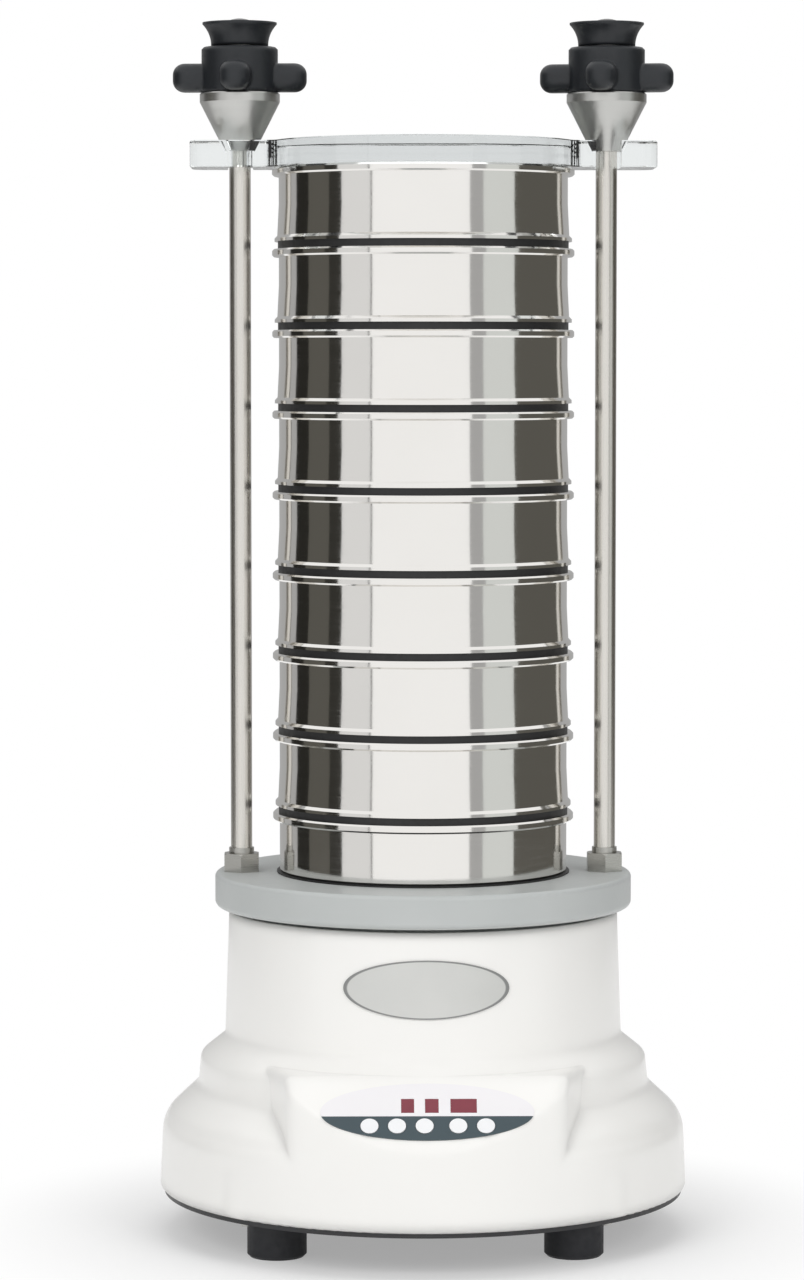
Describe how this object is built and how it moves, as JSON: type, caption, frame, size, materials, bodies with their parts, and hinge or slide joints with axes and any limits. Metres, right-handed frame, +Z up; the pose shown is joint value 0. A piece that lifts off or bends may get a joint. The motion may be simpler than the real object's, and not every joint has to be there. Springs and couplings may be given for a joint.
{
  "type": "sieve shaker",
  "caption": "Electromagnetic laboratory sieve shaker: white stepped housing, control panel, tie rods, quick clamps and a clamped stack of round test sieves.",
  "frame": {"origin": "centre of the footprint on the surface that the rubber feet stand on, under the stack's axis", "axes": "+Z up along the sieve stack, the control panel faces -Y, +X to the right seen from the front"},
  "size_m": [0.3724, 0.3724, 0.853],
  "materials": {
    "black_rubber": "matt rubber",
    "black_steel": "black painted sheet",
    "board_green": "lacquered board",
    "cap_black": "domed, glossy",
    "cast_grey": "as cast",
    "clear_acrylic": "clear acrylic, polished faces",
    "coil_copper": "enamelled winding",
    "cone_steel": "turned stainless",
    "display_red": "tinted filter",
    "grey_plate": "turned plastic, smooth",
    "inlet_black": "moulded",
    "key_white": "soft key",
    "knob_black": "moulded, fine texture",
    "lamination_steel": "lacquered stack",
    "module_black": "moulded",
    "nut_steel": "stainless",
    "overlay_dark": "printed film",
    "overlay_white": "printed film",
    "pin_brass": "plated",
    "rocker_black": "moulded",
    "rod_steel": "ground stainless",
    "seal_rubber": "matt rubber",
    "sieve_steel": "polished stainless",
    "silver_plate": "satin, bare",
    "white_shell": "moulded shell, soft gloss",
    "zinc_steel": "zinc plated"
  },
  "bodies": {
    "base": {"housing": "white_shell", "base_plate": "black_steel", "rubber_feet": "black_rubber", "foot_screws": "zinc_steel", "rim_screws": "zinc_steel", "panel_overlay": "overlay_white", "key_band": "overlay_dark", "display_windows": "display_red", "display_modules": "module_black", "control_board": "board_green", "key_switches": "module_black", "board_standoffs": "zinc_steel", "name_plate": "silver_plate", "mains_inlet": "inlet_black", "inlet_pins": "pin_brass", "power_board": "board_green", "magnet_pedestal": "cast_grey", "magnet_core": "lamination_steel", "magnet_coil": "coil_copper", "rubber_buffers": "black_rubber"},
    "head": {"sieve_plate": "grey_plate", "pan_seal": "seal_rubber", "tie_rods": "rod_steel", "rod_nuts": "nut_steel", "rod_caps": "cap_black", "armature": "lamination_steel", "armature_screws": "zinc_steel", "pan": "sieve_steel", "sieve_1": "sieve_steel", "sieve_2": "sieve_steel", "sieve_3": "sieve_steel", "sieve_4": "sieve_steel", "sieve_5": "sieve_steel", "sieve_6": "sieve_steel", "sieve_7": "sieve_steel", "sieve_8": "sieve_steel", "sieve_seal_1": "seal_rubber", "sieve_seal_2": "seal_rubber", "sieve_seal_3": "seal_rubber", "sieve_seal_4": "seal_rubber", "sieve_seal_5": "seal_rubber", "sieve_seal_6": "seal_rubber", "sieve_seal_7": "seal_rubber", "sieve_seal_8": "seal_rubber", "clamp_plate": "clear_acrylic"},
    "left_clamp": {"left_cone": "cone_steel"},
    "left_grip": {"left_collet": "cone_steel", "left_release_head": "knob_black"},
    "left_handle": {"left_knob": "knob_black"},
    "right_clamp": {"right_cone": "cone_steel"},
    "right_grip": {"right_collet": "cone_steel", "right_release_head": "knob_black"},
    "right_handle": {"right_knob": "knob_black"},
    "key_1_button": {"key_1": "key_white"},
    "key_2_button": {"key_2": "key_white"},
    "key_3_button": {"key_3": "key_white"},
    "key_4_button": {"key_4": "key_white"},
    "key_5_button": {"key_5": "key_white"},
    "rocker": {"power_rocker": "rocker_black"},
    "drawer": {"fuse_drawer": "inlet_black"}
  },
  "joints": [
    {"name": "head_bounce", "type": "slide", "parent": "base", "child": "head", "axis": [0, 0, 1], "range_m": [-0.0015, 0.0015], "stiffness_N_per_m": 400000, "deforming": ["rubber_buffers"]},
    {"name": "left_clamp_slide", "type": "slide", "parent": "head", "child": "left_clamp", "axis": [0, 0, 1], "range_m": [0, 0.0075]},
    {"name": "left_knob_turn", "type": "hinge", "parent": "left_grip", "child": "left_handle", "pos_m": [-0.1284, 0, 0.81], "axis": [0, 0, 1], "range_deg": [0, 225]},
    {"name": "left_collet_lift", "type": "slide", "parent": "left_clamp", "child": "left_grip", "axis": [0, 0, 1], "range_m": [0, 0.0019]},
    {"name": "right_clamp_slide", "type": "slide", "parent": "head", "child": "right_clamp", "axis": [0, 0, 1], "range_m": [0, 0.0075]},
    {"name": "right_knob_turn", "type": "hinge", "parent": "right_grip", "child": "right_handle", "pos_m": [0.1284, 0, 0.81], "axis": [0, 0, 1], "range_deg": [0, 225]},
    {"name": "right_collet_lift", "type": "slide", "parent": "right_clamp", "child": "right_grip", "axis": [0, 0, 1], "range_m": [0, 0.0019]},
    {"name": "key_1_press", "type": "slide", "parent": "base", "child": "key_1_button", "axis": [0, 0.809, -0.5878], "range_m": [0, 0.0006], "stiffness_N_per_m": 400, "springref_m": -0.0004},
    {"name": "key_2_press", "type": "slide", "parent": "base", "child": "key_2_button", "axis": [0, 0.809, -0.5878], "range_m": [0, 0.0006], "stiffness_N_per_m": 400, "springref_m": -0.0004},
    {"name": "key_3_press", "type": "slide", "parent": "base", "child": "key_3_button", "axis": [0, 0.809, -0.5878], "range_m": [0, 0.0006], "stiffness_N_per_m": 400, "springref_m": -0.0004},
    {"name": "key_4_press", "type": "slide", "parent": "base", "child": "key_4_button", "axis": [0, 0.809, -0.5878], "range_m": [0, 0.0006], "stiffness_N_per_m": 400, "springref_m": -0.0004},
    {"name": "key_5_press", "type": "slide", "parent": "base", "child": "key_5_button", "axis": [0, 0.809, -0.5878], "range_m": [0, 0.0006], "stiffness_N_per_m": 400, "springref_m": -0.0004},
    {"name": "rocker_tilt", "type": "hinge", "parent": "base", "child": "rocker", "pos_m": [-0.022, 0.1772, 0.052], "axis": [1, 0, 0], "range_deg": [0, 20]},
    {"name": "drawer_pull", "type": "slide", "parent": "base", "child": "drawer", "axis": [0, 1, 0], "range_m": [0, 0.014]}
  ],
  "couplings": [
    {"joint": "left_collet_lift", "follows": "left_knob_turn", "m_per_rad": 0.00047746},
    {"joint": "right_collet_lift", "follows": "right_knob_turn", "m_per_rad": 0.00047746}
  ]
}
